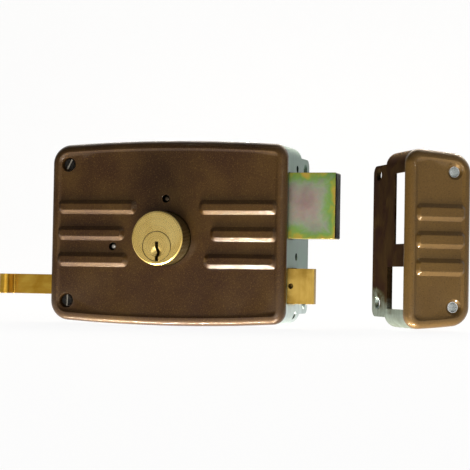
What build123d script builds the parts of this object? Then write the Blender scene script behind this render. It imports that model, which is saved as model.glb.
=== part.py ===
from build123d import *
import math
import os

# A rim box lock with its keep, in millimetres. X runs from the lock towards the keep, Y goes into the
# door and Z is up. The origin is where the key's axis meets the door's face. A depth is measured from
# the door's face forwards, so it is minus Y.

# Case
case_width = 140.0
case_depth = 34.0
case_end_height = 99.2
case_bow = 2.6
case_centre = 7.8
corner_left = 11.0
corner_right = 7.5
cover_wall = 1.2
chassis_wall = 1.5
shell_gap = 0.15
running_gap = 0.05
overrun = 2.0

# Bolts and bar: how far they reach out of the case, and how they stack behind its cover
bolt_reach = 26.9
bolt_bottom = 5.5
bolt_height = 36.5
bolt_thickness = 10.9
bolt_cover_gap = 6.5
bolt_inside = 20.0
latch_reach = 15.3
latch_middle = -20.8
latch_side = 19.5
bar_middle = -22.3
bar_height = 11.4
bar_thickness = 2.5
window_gap = 0.35

# Rack and pinion: one turn of the key throws the bolt by the pinion's pitch circle
gear_module = 0.85
pinion_teeth = 10
pressure_angle = 25.0
backlash = 0.12

# Cylinder
cylinder_radius = 15.0
cylinder_middle = 4.6
cylinder_proud = 13.3
cylinder_inside = 15.2
plug_radius = 8.25
pin_radius = 1.45
pin_count = 5
post_spread = 8.0
post_height = 12.0
post_radius = 3.0
screw_radius = 2.0

# Keep, placed as it stands beside the lock, turned about the vertical
keep_width = 38.0
keep_fall = 6.4
keep_corner_left = 8.0
keep_corner_right = 11.0
keep_away = 48.0
keep_y = 5.0
keep_drop = 1.5
keep_turn = 31.75
keep_wall = 1.1

# Worked out
half_width = case_width / 2
half_end = case_end_height / 2
pitch_radius = gear_module * pinion_teeth / 2
bolt_travel = 2 * math.pi * pitch_radius
bolt_front = case_depth - bolt_cover_gap
bolt_back = bolt_front - bolt_thickness
bolt_inner = half_width - bolt_inside
latch_front = bolt_front
latch_back = latch_front - latch_side
bar_depth = case_depth / 2
cylinder_back = case_depth - cylinder_inside
cylinder_face = case_depth + cylinder_proud
keep_x = half_width + keep_away
keep_end_height = case_end_height
keep_far_height = keep_end_height - keep_fall
keep_centre = case_centre - keep_drop


def front(depth):
    """The plane parallel to the door at a depth, facing the room."""
    return Plane.XZ.offset(depth)


def facing(x, depth, z):
    """A plane that faces the room, with its origin at a point."""
    return Plane(origin=(x, -depth, z), x_dir=(1, 0, 0), z_dir=(0, -1, 0))


def side(x):
    """The plane square to X, with Y to its right and Z up."""
    return Plane.YZ.offset(x)


def bowed_face(plane, inset, left=None):
    """The case's outline, bowed at top and bottom and drawn in by inset, from X = left onwards."""
    top, bottom = case_centre + half_end, case_centre - half_end
    with BuildSketch(plane, mode=Mode.PRIVATE) as face:
        with BuildLine():
            ThreePointArc((-half_width, top), (0, top + case_bow), (half_width, top))
            Line((half_width, top), (half_width, bottom))
            ThreePointArc((half_width, bottom), (0, bottom - case_bow), (-half_width, bottom))
            Line((-half_width, bottom), (-half_width, top))
        make_face()
        fillet(face.vertices().group_by(Axis.X)[0], corner_left)
        fillet(face.vertices().group_by(Axis.X)[-1], corner_right)
        if inset:
            offset(amount=-inset)
        if left is not None:
            with Locations((left + case_width, case_centre)):
                Rectangle(2 * case_width, 2 * case_width, mode=Mode.INTERSECT)
    return face.sketch


os.makedirs("parts", exist_ok=True)

# Lip plate, the flange that wraps round the door's edge
lip_thickness = 2.0
lip_reach = 23.5
lip_overlap = 6.0
lip_shorter = 10.0
lip_corner = 5.0
lip_hole_reach = 14.5
lip_hole_inset = 6.6
lip_hole_radius = 2.6
lip_sink_radius = 4.0
lip_face = half_width - chassis_wall
lip_height = case_end_height - lip_shorter
lip_hole_spacing = lip_height - 2 * lip_hole_inset

with BuildPart() as lip_plate:
    with BuildSketch(side(lip_face)) as lip_outline:
        with Locations(((lip_reach - lip_overlap) / 2, case_centre)):
            Rectangle(lip_reach + lip_overlap, lip_height)
        fillet(lip_outline.vertices().group_by(Axis.X)[-1], lip_corner)
    extrude(amount=-lip_thickness)
    lip_holes = [
        Plane(origin=(lip_face, lip_hole_reach, case_centre + end * lip_hole_spacing / 2), z_dir=(1, 0, 0))
        for end in (1, -1)
    ]
    with Locations(*lip_holes):
        CounterSinkHole(lip_hole_radius, lip_sink_radius, counter_sink_angle=90)
lip_plate.part.label = "lip_plate"
export_step(lip_plate.part, "parts/lip_plate.step")

# Chassis: the tray that stands on the door, full size at the fore-end and stepped in under the cover
fore_end = 10.0
tray_depth = 14.0
cover_skirt = 4.8
fore_depth = case_depth - cover_skirt - shell_gap
tray_inset = cover_wall + shell_gap
tail_bore_radius = 9.0
door_hole_radius = 2.6
door_hole_inset_x = 26.0
door_hole_inset_z = 9.6
wall_hole_radius = 2.2
wall_hole_depth = 9.3
wall_hole_shares = (-0.455, -0.123, 0.375)
post_screw_head = 3.5
joggle_x = half_width - fore_end
door_hole_spacing_x = case_width - 2 * door_hole_inset_x
door_hole_spacing_z = case_end_height - 2 * door_hole_inset_z

with BuildPart() as chassis:
    extrude(bowed_face(front(0), 0, joggle_x), amount=fore_depth)
    extrude(bowed_face(front(0), tray_inset), amount=tray_depth)
    inner = tray_inset + chassis_wall
    extrude(bowed_face(front(chassis_wall), inner), amount=case_depth, mode=Mode.SUBTRACT)
    fore_inner = bowed_face(front(chassis_wall), chassis_wall, joggle_x + chassis_wall)
    extrude(fore_inner, amount=case_depth, mode=Mode.SUBTRACT)
    with BuildSketch(side(half_width + overrun)):
        with Locations((-(bolt_back + bolt_front) / 2, bolt_bottom + bolt_height / 2)):
            Rectangle(bolt_thickness + 2 * window_gap, bolt_height + 2 * window_gap)
        with Locations((-(latch_back + latch_front) / 2, latch_middle)):
            Rectangle(latch_side + 2 * window_gap, latch_side + 2 * window_gap)
        wall_holes = [(-wall_hole_depth, case_centre + share * case_end_height) for share in wall_hole_shares]
        with Locations(*wall_holes):
            Circle(wall_hole_radius)
    extrude(amount=-(chassis_wall + 2 * overrun), mode=Mode.SUBTRACT)
    with Locations((lip_face - lip_thickness / 2, 0, case_centre)):
        Box(lip_thickness, 2 * lip_overlap, lip_height, mode=Mode.SUBTRACT)
    with BuildSketch(front(-overrun)):
        Circle(tail_bore_radius)
        with Locations((0, case_centre)):
            with GridLocations(door_hole_spacing_x, door_hole_spacing_z, 2, 2):
                Circle(door_hole_radius)
    extrude(amount=chassis_wall + 2 * overrun, mode=Mode.SUBTRACT)
    post_holes = [Plane(origin=(x, 0, post_height), z_dir=(0, 1, 0)) for x in (-post_spread, post_spread)]
    with Locations(*post_holes):
        CounterSinkHole(screw_radius + running_gap, post_screw_head, 2 * chassis_wall, 90)
chassis.part.label = "chassis"
export_step(chassis.part, "parts/chassis.step")

# Cover: the painted shell, with a sunk panel, ribs broken by a dish, and dimples for its screws
cover_back = 0.5
cover_round = 4.5
panel_border = 4.6
panel_sink = 0.7
panel_taper = 65.0
rib_width = 8.2
rib_pitch = 15.0
rib_drop = 0.5
rib_height = 1.8
rib_taper = 52.0
rib_crown = 0.9
rib_corner = 3.4
rib_margin = 4.3
rib_ends_left = (17.4, 24.4, 22.2)
rib_ends_right = (19.6, 26.4, 23.0)
bore_gap = 0.4
cover_screw_inset_x = 10.5
cover_screw_inset_z = 10.6
dimple_radius = 4.3
dimple_floor_radius = 3.5
dimple_depth = 2.6
dimple_floor = 1.6
dimple_boss_radius = 5.7
upper_hole_z = 27.1
lower_hole_x = -31.7
small_hole_radius = 2.3
bar_slot_gap = 0.7
rib_outer = half_width - rib_margin
cover_screw_x = cover_screw_inset_x - half_width
cover_screw_spacing = case_end_height - 2 * cover_screw_inset_z
panel_depth = case_depth - panel_sink
panel_inside = panel_depth - cover_wall
cover_screw_heights = (case_centre + cover_screw_spacing / 2, case_centre - cover_screw_spacing / 2)
rib_middle = case_centre - rib_drop
rib_rows = (rib_middle + rib_pitch, rib_middle, rib_middle - rib_pitch)


with BuildPart() as cover_hollow:
    extrude(bowed_face(front(0), cover_wall), amount=panel_inside)
    fillet(cover_hollow.faces().sort_by(Axis.Y)[0].edges(), cover_round - cover_wall)

with BuildPart() as cover:
    extrude(bowed_face(front(cover_back), 0), amount=case_depth - cover_back)
    fillet(cover.faces().sort_by(Axis.Y)[0].edges(), cover_round)
    add(cover_hollow.part, mode=Mode.SUBTRACT)
    fore_cut = bowed_face(front(0), -overrun, joggle_x - shell_gap)
    extrude(fore_cut, amount=case_depth - cover_skirt, mode=Mode.SUBTRACT)
    panel = bowed_face(front(case_depth), panel_border)
    extrude(panel, amount=-panel_sink, taper=panel_taper, mode=Mode.SUBTRACT)
    for row, left, right in zip(rib_rows, rib_ends_left, rib_ends_right):
        with BuildSketch(front(panel_depth)):
            with Locations((-(rib_outer + left) / 2, row)):
                RectangleRounded(rib_outer - left, rib_width, rib_corner)
            with Locations(((rib_outer + right) / 2, row)):
                RectangleRounded(rib_outer - right, rib_width, rib_corner)
        extrude(amount=rib_height, taper=rib_taper)
    rib_tops = cover.faces().filter_by(Plane.XZ).group_by(Axis.Y)[0]
    fillet(rib_tops.edges(), rib_crown)
    with BuildSketch(front(panel_depth - dimple_depth - dimple_floor)):
        with Locations(*[(cover_screw_x, z) for z in cover_screw_heights]):
            Circle(dimple_boss_radius)
    extrude(amount=dimple_depth + dimple_floor - cover_wall)
    with Locations(*[facing(cover_screw_x, panel_depth, z) for z in cover_screw_heights]):
        Cone(
            dimple_floor_radius,
            dimple_radius,
            dimple_depth,
            align=(Align.CENTER, Align.CENTER, Align.MAX),
            mode=Mode.SUBTRACT,
        )
        Hole(screw_radius + running_gap, dimple_depth + dimple_floor + overrun)
    with BuildSketch(front(case_depth + overrun)):
        with Locations((0, cylinder_middle)):
            Circle(cylinder_radius + bore_gap)
        with Locations((0, upper_hole_z), (lower_hole_x, 0)):
            Circle(small_hole_radius)
    extrude(amount=-(cover_wall + panel_sink + 2 * overrun), mode=Mode.SUBTRACT)
    slot_depth = bar_depth + bar_thickness / 2 + bar_slot_gap
    with Locations((-half_width, -slot_depth / 2, bar_middle)):
        Box(4 * cover_wall, slot_depth, bar_height + 2 * bar_slot_gap, mode=Mode.SUBTRACT)
cover.part.label = "cover"
export_step(cover.part, "parts/cover.step")

# Cover screws: slotted, in the dimples, each slot left at its own angle
screw_head_radius = 3.1
screw_head_depth = 1.3
screw_slot_width = 1.0
screw_slot_depth = 0.8
cover_screw_length = 12.0
screw_slot_turns = (62.0, 88.0)
screw_seat = panel_depth - dimple_depth

with BuildPart() as cover_screws:
    with BuildSketch(front(screw_seat)):
        with Locations(*[(cover_screw_x, z) for z in cover_screw_heights]):
            Circle(screw_head_radius)
    extrude(amount=screw_head_depth)
    chamfer(cover_screws.faces().sort_by(Axis.Y)[:2].edges(), screw_slot_depth / 3)
    with BuildSketch(front(screw_seat)):
        with Locations(*[(cover_screw_x, z) for z in cover_screw_heights]):
            Circle(screw_radius)
    extrude(amount=-cover_screw_length)
    for z, turn in zip(cover_screw_heights, screw_slot_turns):
        with BuildSketch(front(screw_seat + screw_head_depth)):
            with Locations((cover_screw_x, z)):
                Rectangle(3 * screw_head_radius, screw_slot_width, rotation=turn)
        extrude(amount=-screw_slot_depth, mode=Mode.SUBTRACT)
cover_screws.part.label = "cover_screws"
export_step(cover_screws.part, "parts/cover_screws.step")

# Screw posts under the dimples
screw_post_radius = 3.0
screw_post_top = screw_seat - dimple_floor

with BuildPart() as screw_posts:
    with BuildSketch(front(chassis_wall)):
        with Locations(*[(cover_screw_x, z) for z in cover_screw_heights]):
            Circle(screw_post_radius)
            Circle(screw_radius + running_gap, mode=Mode.SUBTRACT)
    extrude(amount=screw_post_top - chassis_wall)
screw_posts.part.label = "screw_posts"
export_step(screw_posts.part, "parts/screw_posts.step")

# Stay pins: the pins that show in the cover's two small holes
stay_radius = 1.4
stay_foot_radius = 3.2
stay_foot_height = 3.0
stay_inset = 0.6
stay_places = ((lower_hole_x, 0), (0, upper_hole_z))

with BuildPart() as stay_pins:
    with BuildSketch(front(chassis_wall)):
        with Locations(*stay_places):
            Circle(stay_foot_radius)
    extrude(amount=stay_foot_height)
    with BuildSketch(front(chassis_wall)):
        with Locations(*stay_places):
            Circle(stay_radius)
    extrude(amount=panel_inside - stay_inset - chassis_wall)
    fillet(stay_pins.faces().sort_by(Axis.Y)[:2].edges(), stay_radius / 2)
stay_pins.part.label = "stay_pins"
export_step(stay_pins.part, "parts/stay_pins.step")

# Deadbolt head
bolt_edge = 0.6
rivet_inset = 7.5
lower_rivet = 6.5
upper_rivet = 8.0
rivet_radius = 2.5
rivet_x = bolt_inner + rivet_inset
rivet_heights = (bolt_bottom + lower_rivet, bolt_bottom + bolt_height - upper_rivet)

with BuildPart() as deadbolt:
    with BuildSketch(front(bolt_back)):
        with Locations(((bolt_inner + half_width + bolt_reach) / 2, bolt_bottom + bolt_height / 2)):
            Rectangle(half_width + bolt_reach - bolt_inner, bolt_height)
    extrude(amount=bolt_thickness)
    chamfer(deadbolt.faces().sort_by(Axis.X)[-1].edges(), bolt_edge)
    with BuildSketch(front(bolt_back)):
        with Locations(*[(rivet_x, z) for z in rivet_heights]):
            Circle(rivet_radius)
    extrude(amount=bolt_thickness, mode=Mode.SUBTRACT)
deadbolt.part.label = "deadbolt"
export_step(deadbolt.part, "parts/deadbolt.step")

# Bolt tail: the plate behind the deadbolt, with its rack over the pinion and a slot for the two posts
tail_thickness = 2.5
tail_left = -18.0
tail_top = 22.0
tail_lug_inset = 1.0
tail_lug_drop = 3.0
tail_lug_length = 15.0
rack_addendum = 0.62
rack_root = 0.95
rack_margin = 4.0
slot_gap = 0.2
tail_back = bolt_back - tail_thickness
tail_lug_x = bolt_inner + tail_lug_inset
tail_right = tail_lug_x + tail_lug_length
tail_lug_top = bolt_bottom + bolt_height - tail_lug_drop
tooth_pitch = math.pi * gear_module
tooth_lean = math.tan(math.radians(pressure_angle))
rack_line = pitch_radius
rack_count = math.ceil((bolt_travel + 2 * rack_margin) / tooth_pitch)
rack_start = -rack_margin


def rack_tooth(x):
    """The corners of one rack tooth that points down, centred on X = x at the pitch line."""
    half_tooth = tooth_pitch / 4 - backlash / 2
    root = rack_line + rack_root + running_gap
    tip = rack_line - rack_addendum
    return (
        (x - half_tooth - tooth_lean * (root - rack_line), root),
        (x - half_tooth + tooth_lean * rack_addendum, tip),
        (x + half_tooth - tooth_lean * rack_addendum, tip),
        (x + half_tooth + tooth_lean * (root - rack_line), root),
    )


with BuildPart() as bolt_tail:
    with BuildSketch(front(tail_back)):
        with Locations(((tail_left + tail_right) / 2, (rack_line + rack_root + tail_top) / 2)):
            Rectangle(tail_right - tail_left, tail_top - rack_line - rack_root)
        with Locations(((tail_lug_x + tail_right) / 2, (tail_top + tail_lug_top) / 2)):
            Rectangle(tail_right - tail_lug_x, tail_lug_top - tail_top)
        for i in range(rack_count + 1):
            Polygon(*rack_tooth((round(rack_start / tooth_pitch) + i) * tooth_pitch), align=None)
        slot_left = -post_spread - post_radius - slot_gap
        slot_right = post_spread + bolt_travel + post_radius + slot_gap
        with Locations(((slot_left + slot_right) / 2, post_height)):
            SlotOverall(slot_right - slot_left, 2 * (post_radius + slot_gap), mode=Mode.SUBTRACT)
        with Locations(*[(rivet_x, z) for z in rivet_heights]):
            Circle(rivet_radius, mode=Mode.SUBTRACT)
    extrude(amount=tail_thickness)
bolt_tail.part.label = "bolt_tail"
export_step(bolt_tail.part, "parts/bolt_tail.step")

# Bolt rivets, headed behind the tail
rivet_head_radius = 3.4
rivet_head = 1.6

with BuildPart() as bolt_rivets:
    with BuildSketch(front(tail_back)):
        with Locations(*[(rivet_x, z) for z in rivet_heights]):
            Circle(rivet_radius)
    extrude(amount=tail_thickness + bolt_thickness)
    with BuildSketch(front(tail_back)):
        with Locations(*[(rivet_x, z) for z in rivet_heights]):
            Circle(rivet_head_radius)
    extrude(amount=-rivet_head)
    fillet(bolt_rivets.faces().sort_by(Axis.Y)[-2:].edges(), rivet_head / 2)
bolt_rivets.part.label = "bolt_rivets"
export_step(bolt_rivets.part, "parts/bolt_rivets.step")

# Drive pinion, turned by the plug's tail
gear_overlap = 0.3
gear_thickness = 3.1
pinion_addendum = 0.75
pinion_root = 0.95
hub_radius = 5.0
hub_foot = 2.5
collar_radius = 6.4
collar_thickness = 1.2
tail_width = 1.8
tail_height = 4.4
tail_slot_gap = 0.1
flank_points = 6
base_radius = pitch_radius * math.cos(math.radians(pressure_angle))
gear_front = bolt_back + gear_overlap
gear_back = gear_front - gear_thickness
hub_back = chassis_wall + hub_foot


def pinion_tooth(turn):
    """The corners of one involute tooth whose middle points along turn, in degrees from local X."""
    tip = pitch_radius + pinion_addendum
    root = pitch_radius - pinion_root
    at_pitch = math.tan(math.acos(base_radius / pitch_radius)) - math.acos(base_radius / pitch_radius)
    half_tooth = (tooth_pitch / 2 - backlash) / 2 / pitch_radius
    flank = []
    for i in range(flank_points):
        radius = base_radius + (tip - base_radius) * i / (flank_points - 1)
        roll = math.acos(base_radius / radius)
        flank.append((radius, half_tooth + at_pitch - (math.tan(roll) - roll)))
    middle = math.radians(turn)
    left = [(r * math.cos(middle + a), r * math.sin(middle + a)) for r, a in flank]
    right = [(r * math.cos(middle - a), r * math.sin(middle - a)) for r, a in reversed(flank)]
    foot = flank[0][1]
    inner = root - pinion_root / 2
    first = (inner * math.cos(middle - foot), inner * math.sin(middle - foot))
    last = (inner * math.cos(middle + foot), inner * math.sin(middle + foot))
    return (first, *reversed(right), *reversed(left), last)


with BuildPart() as drive_pinion:
    with BuildSketch(front(gear_back)):
        Circle(pitch_radius - pinion_root)
        for i in range(pinion_teeth):
            Polygon(*pinion_tooth(90 + (i + 0.5) * 360 / pinion_teeth), align=None)
    extrude(amount=gear_thickness)
    with BuildSketch(front(gear_back)):
        Circle(collar_radius)
    extrude(amount=-collar_thickness)
    with BuildSketch(front(hub_back)):
        Circle(hub_radius)
    extrude(amount=gear_back - hub_back)
    with BuildSketch(front(hub_back)):
        Rectangle(tail_width + 2 * tail_slot_gap, tail_height + 2 * tail_slot_gap)
    extrude(amount=gear_front - hub_back, mode=Mode.SUBTRACT)
drive_pinion.part.label = "drive_pinion"
export_step(drive_pinion.part, "parts/drive_pinion.step")

# Pinion bridge: the plate on the two posts that carries the pinion's hub
bridge_thickness = 2.0
bridge_eye = 8.6
bridge_ear = 5.4
bridge_front = gear_back - collar_thickness - running_gap
post_places = ((-post_spread, post_height), (post_spread, post_height))

with BuildPart() as pinion_bridge:
    with BuildSketch(front(bridge_front)):
        Circle(bridge_eye)
        with Locations(*post_places):
            Circle(bridge_ear)
        make_hull()
        Circle(hub_radius + running_gap, mode=Mode.SUBTRACT)
        with Locations(*post_places):
            Circle(post_radius, mode=Mode.SUBTRACT)
    extrude(amount=-bridge_thickness)
pinion_bridge.part.label = "pinion_bridge"
export_step(pinion_bridge.part, "parts/pinion_bridge.step")

# Cylinder posts, which hold the cylinder off the back plate
with BuildPart() as cylinder_posts:
    with BuildSketch(front(chassis_wall)):
        with Locations(*post_places):
            Circle(post_radius)
            Circle(screw_radius + running_gap, mode=Mode.SUBTRACT)
    extrude(amount=cylinder_back - chassis_wall)
cylinder_posts.part.label = "cylinder_posts"
export_step(cylinder_posts.part, "parts/cylinder_posts.step")

# Cylinder screws, let into the back plate
screw_bite = 8.0
cross_width = 0.9
cross_depth = 0.8

with BuildPart() as cylinder_screws:
    with Locations(*[facing(x, 0, z) for x, z in post_places]):
        Cylinder(screw_radius, cylinder_back + screw_bite, align=(Align.CENTER, Align.CENTER, Align.MIN))
        Cone(
            post_screw_head - running_gap,
            screw_radius,
            post_screw_head - running_gap - screw_radius,
            align=(Align.CENTER, Align.CENTER, Align.MIN),
        )
    for x, z in post_places:
        with BuildSketch(front(0)):
            with Locations((x, z)):
                Rectangle(2 * screw_radius, cross_width)
                Rectangle(cross_width, 2 * screw_radius)
        extrude(amount=cross_depth, mode=Mode.SUBTRACT)
cylinder_screws.part.label = "cylinder_screws"
export_step(cylinder_screws.part, "parts/cylinder_screws.step")

# Cylinder body
rim_chamfer = 0.7
chamber_radius = pin_radius + running_gap
first_pin = 6.5
pin_pitch = 4.6
pin_depths = [cylinder_face - first_pin - i * pin_pitch for i in range(pin_count)]
body_top = cylinder_middle + cylinder_radius
cylinder_length = cylinder_face - cylinder_back

with BuildPart() as cylinder_body:
    with BuildSketch(front(cylinder_back)):
        with Locations((0, cylinder_middle)):
            Circle(cylinder_radius)
    extrude(amount=cylinder_length)
    chamfer(cylinder_body.faces().sort_by(Axis.Y)[0].edges(), rim_chamfer)
    with BuildSketch(front(cylinder_back)):
        Circle(plug_radius + running_gap)
    extrude(amount=cylinder_length, mode=Mode.SUBTRACT)
    with BuildSketch(front(cylinder_back)):
        with Locations(*post_places):
            Circle(screw_radius)
    extrude(amount=screw_bite, mode=Mode.SUBTRACT)
    with Locations(*[(0, -depth, 0) for depth in pin_depths]):
        Cylinder(
            chamber_radius,
            body_top + overrun,
            align=(Align.CENTER, Align.CENTER, Align.MIN),
            mode=Mode.SUBTRACT,
        )
cylinder_body.part.label = "cylinder_body"
export_step(cylinder_body.part, "parts/cylinder_body.step")

# Plug: the part that the key turns, with a crooked keyway that is open below
keyway_top = 2.6
keyway_width = 1.9
keyway_stop = 4.0
keyway_step_share = 0.5
entry_radius = 3.0
entry_middle = -3.2
entry_depth = 1.0
clip_thickness = 0.8
clip_groove = 1.2
plug_back = cylinder_back - clip_thickness - 2 * running_gap - 0.25 * clip_groove
shear_gap = 0.15

with BuildPart() as plug:
    with BuildSketch(front(plug_back)):
        Circle(plug_radius)
    extrude(amount=cylinder_face - plug_back)
    chamfer(plug.faces().sort_by(Axis.Y)[0].edges(), rim_chamfer / 3)
    with BuildSketch(front(plug_back + keyway_stop)):
        step = keyway_width * keyway_step_share
        with BuildLine():
            Polyline(
                (-keyway_width / 2, keyway_top),
                (keyway_width / 2, keyway_top),
                (keyway_width / 2, entry_middle / 3),
                (keyway_width / 2 + step, entry_middle),
                (keyway_width / 2, 2 * entry_middle),
                (keyway_width / 2 + step / 2, -plug_radius - overrun),
                (-keyway_width / 2 + step / 2, -plug_radius - overrun),
                (-keyway_width / 2, 2 * entry_middle),
                (-keyway_width / 2 + step, entry_middle),
                (-keyway_width / 2, entry_middle / 3),
                close=True,
            )
        make_face()
    extrude(amount=cylinder_face - plug_back, mode=Mode.SUBTRACT)
    with Locations(facing(0, cylinder_face, entry_middle)):
        Cone(
            entry_radius / 2,
            entry_radius,
            entry_depth,
            align=(Align.CENTER, Align.CENTER, Align.MAX),
            mode=Mode.SUBTRACT,
        )
    with Locations(*[(0, -depth, 0) for depth in pin_depths]):
        Cylinder(
            chamber_radius,
            plug_radius + overrun,
            align=(Align.CENTER, Align.CENTER, Align.MIN),
            mode=Mode.SUBTRACT,
        )
    with BuildSketch(front(cylinder_back - running_gap - clip_thickness - running_gap)):
        Circle(plug_radius + overrun)
        Circle(plug_radius - clip_groove, mode=Mode.SUBTRACT)
    extrude(amount=clip_thickness + running_gap, mode=Mode.SUBTRACT)
    with BuildSketch(front(plug_back)):
        Rectangle(tail_width, tail_height)
    extrude(amount=keyway_stop - 2 * running_gap, mode=Mode.SUBTRACT)
plug.part.label = "plug"
export_step(plug.part, "parts/plug.step")

# Plug clip, an open ring in the plug's groove behind the body
clip_rim = 1.1
clip_mouth = 9.0

with BuildPart() as plug_clip:
    with BuildSketch(front(cylinder_back - running_gap - clip_thickness)):
        Circle(plug_radius + clip_rim)
        Circle(plug_radius - clip_groove, mode=Mode.SUBTRACT)
        with Locations((0, -plug_radius)):
            Rectangle(clip_mouth, plug_radius, mode=Mode.SUBTRACT)
    extrude(amount=clip_thickness)
plug_clip.part.label = "plug_clip"
export_step(plug_clip.part, "parts/plug_clip.step")

# Plug tail: the flat bar from the plug through the pinion
tail_bar_inset = 1.0
tail_bar_end = hub_back + tail_bar_inset

with BuildPart() as plug_tail:
    with BuildSketch(front(tail_bar_end)):
        Rectangle(tail_width, tail_height)
    extrude(amount=plug_back + keyway_stop - 2 * running_gap - tail_bar_end)
plug_tail.part.label = "plug_tail"
export_step(plug_tail.part, "parts/plug_tail.step")

# Pin stacks: key pins under the shear line, driver pins, springs and plugs over it
key_pin_shares = (0.62, 0.78, 0.66, 0.84, 0.7)
pin_tip = 0.9
pin_tip_radius = 0.5
driver_length = 4.2
chamber_plug_length = 1.8
pin_wire = 0.36
pin_turns = 6
key_pin_top = plug_radius - shear_gap
driver_bottom = plug_radius + running_gap
driver_top = driver_bottom + driver_length
chamber_plug_bottom = body_top - 0.3 * chamber_plug_length - chamber_plug_length


def coil(start, radius, wire, turns, length):
    """A coil spring that winds from the plane start along its normal, length long over its wire."""
    rise = length - wire
    foot = start.offset(wire / 2)
    with BuildPart(mode=Mode.PRIVATE) as winding:
        with BuildLine() as path:
            Helix(pitch=rise / turns, height=rise, radius=radius, center=foot.origin, direction=foot.z_dir)
        with BuildSketch(Plane(origin=path.line @ 0, z_dir=path.line % 0)):
            Circle(wire / 2)
        sweep(path=path.line, is_frenet=True)
    return winding.part


with BuildPart() as key_pins:
    for depth, share in zip(pin_depths, key_pin_shares):
        length = share * plug_radius
        with Locations((0, -depth, key_pin_top)):
            Cylinder(pin_radius, length - pin_tip, align=(Align.CENTER, Align.CENTER, Align.MAX))
        with Locations((0, -depth, key_pin_top - length)):
            Cone(pin_tip_radius, pin_radius, pin_tip, align=(Align.CENTER, Align.CENTER, Align.MIN))
key_pins.part.label = "key_pins"
export_step(key_pins.part, "parts/key_pins.step")

with BuildPart() as driver_pins:
    with Locations(*[(0, -depth, driver_bottom) for depth in pin_depths]):
        Cylinder(pin_radius, driver_length, align=(Align.CENTER, Align.CENTER, Align.MIN))
driver_pins.part.label = "driver_pins"
export_step(driver_pins.part, "parts/driver_pins.step")

with BuildPart() as pin_springs:
    for depth in pin_depths:
        seat = Plane(origin=(0, -depth, driver_top), z_dir=(0, 0, 1))
        spring_length = chamber_plug_bottom - driver_top
        add(coil(seat, pin_radius - pin_wire / 2, pin_wire, pin_turns, spring_length))
pin_springs.part.label = "pin_springs"
export_step(pin_springs.part, "parts/pin_springs.step")

with BuildPart() as chamber_plugs:
    with Locations(*[(0, -depth, chamber_plug_bottom) for depth in pin_depths]):
        Cylinder(chamber_radius, chamber_plug_length, align=(Align.CENTER, Align.CENTER, Align.MIN))
chamber_plugs.part.label = "chamber_plugs"
export_step(chamber_plugs.part, "parts/chamber_plugs.step")

# Latch bolt, bevelled on its far side, with its rear slot for the draw bar
latch_nose = 4.0
latch_bevel_start = 1.0
latch_hole_reach = 1.9
latch_hole_radius = 1.5
latch_hole_depth = 6.0
bar_bite = 14.0
latch_pin_inset = 7.0
latch_pin_radius = 1.5
latch_inner = bolt_inner
latch_pin_x = latch_inner + latch_pin_inset
latch_hole_x = half_width + latch_hole_reach
latch_end = half_width + latch_reach
latch_bottom = latch_middle - latch_side / 2

with BuildPart() as latch_bolt:
    with BuildSketch(Plane.XY.offset(latch_bottom)):
        with BuildLine():
            Polyline(
                (latch_inner, -latch_back),
                (latch_inner, -latch_front),
                (latch_end, -latch_front),
                (latch_end, -latch_front + latch_nose),
                (half_width + latch_bevel_start, -latch_back),
                close=True,
            )
        make_face()
    extrude(amount=latch_side)
    with Locations(facing(latch_hole_x, latch_front, latch_middle)):
        Hole(latch_hole_radius, latch_hole_depth)
    with Locations(facing(latch_pin_x, latch_front, bar_middle)):
        Hole(latch_pin_radius, latch_side)
    with Locations((latch_inner, -bar_depth, bar_middle)):
        Box(
            2 * (bar_bite + running_gap),
            bar_thickness + 2 * running_gap,
            bar_height + 2 * running_gap,
            mode=Mode.SUBTRACT,
        )
latch_bolt.part.label = "latch_bolt"
export_step(latch_bolt.part, "parts/latch_bolt.step")

# Draw bar, with its end bent forwards and out for the hand or a cord
bar_reach = 29.4
bar_flange = 10.75
bar_lip = 4.05
bar_bend = 1.9
peg_radius = 1.5
lever_pivot_x = -20.0
lever_pivot_z = -3.0
latch_travel = 13.5
peg_x = lever_pivot_x + latch_travel / 2
bar_bend_x = -half_width - bar_reach - bar_thickness / 2

with BuildPart() as draw_bar:
    with BuildSketch(Plane.XY.offset(bar_middle - bar_height / 2)):
        with BuildLine() as bar_line:
            FilletPolyline(
                (latch_inner + bar_bite, -bar_depth),
                (bar_bend_x, -bar_depth),
                (bar_bend_x, -bar_depth - bar_flange + bar_thickness),
                (bar_bend_x - bar_lip, -bar_depth - bar_flange + bar_thickness),
                radius=bar_bend,
            )
        trace(line_width=bar_thickness)
    extrude(amount=bar_height)
    with BuildSketch(front(bar_depth - bar_thickness)):
        with Locations((latch_pin_x, bar_middle), (peg_x, bar_middle)):
            Circle(latch_pin_radius)
    extrude(amount=2 * bar_thickness, mode=Mode.SUBTRACT)
draw_bar.part.label = "draw_bar"
export_step(draw_bar.part, "parts/draw_bar.step")

# Latch pin, through the latch and the bar
with BuildPart() as latch_pin:
    with BuildSketch(front(latch_back + running_gap)):
        with Locations((latch_pin_x, bar_middle)):
            Circle(latch_pin_radius)
    extrude(amount=latch_side - 2 * running_gap)
latch_pin.part.label = "latch_pin"
export_step(latch_pin.part, "parts/latch_pin.step")

# Spring stop: the bracket that the bar slides through and the latch spring leans on
stop_x = 8.5
stop_thickness = 1.6
stop_foot = 9.0
stop_height = 17.6
stop_rise = 9.0
stop_depth = bar_depth + stop_rise

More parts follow.
